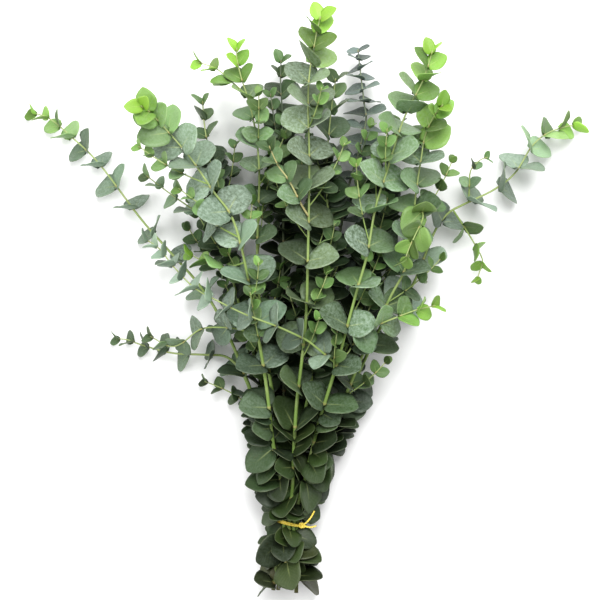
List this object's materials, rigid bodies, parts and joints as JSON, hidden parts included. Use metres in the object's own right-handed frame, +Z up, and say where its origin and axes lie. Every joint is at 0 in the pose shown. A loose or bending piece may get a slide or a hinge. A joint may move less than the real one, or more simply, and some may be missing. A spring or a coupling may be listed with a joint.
{
  "type": "eucalyptus bunch",
  "caption": "Tied bunch of round-leaved eucalyptus stems, lying down: opposite pairs of blue-green leaves that fan out from a yellow tie.",
  "frame": {"origin": "on the surface that the bunch lies on, under the middle of its length and width", "axes": "+Y along the bunch from the cut ends to the tips, +Z up from the surface, +X to the right as seen from above with the tips at the top"},
  "size_m": [0.6387, 0.6532, 0.1899],
  "materials": {
    "stem_centre": "fresh mid-green leaf, waxy",
    "stem_left": "pale glaucous leaf, waxy bloom",
    "stem_right": "mid-green leaf, waxy",
    "stem_tall": "bright green leaf, waxy",
    "stem_upper_left": "bright green leaf, waxy",
    "stem_middle": "deep green leaf, waxy",
    "stem_far_left": "grey-green leaf, waxy bloom",
    "stem_far_right": "pale grey-green leaf, waxy bloom",
    "stem_lower_left": "grey-green leaf, waxy bloom",
    "stem_blue": "blue-grey leaf, heavy bloom",
    "stem_dark": "deep green leaf, waxy",
    "stem_thin": "mid-green leaf, waxy",
    "stem_rear": "dark green leaf, waxy",
    "tie": "satin yellow twist tie"
  },
  "bodies": {
    "root": {"stem_centre": "stem_centre", "stem_left": "stem_left", "stem_right": "stem_right", "stem_tall": "stem_tall", "stem_upper_left": "stem_upper_left", "stem_middle": "stem_middle", "stem_far_left": "stem_far_left", "stem_far_right": "stem_far_right", "stem_lower_left": "stem_lower_left", "stem_blue": "stem_blue", "stem_dark": "stem_dark", "stem_thin": "stem_thin", "stem_rear": "stem_rear", "tie": "tie"}
  },
  "joints": []
}
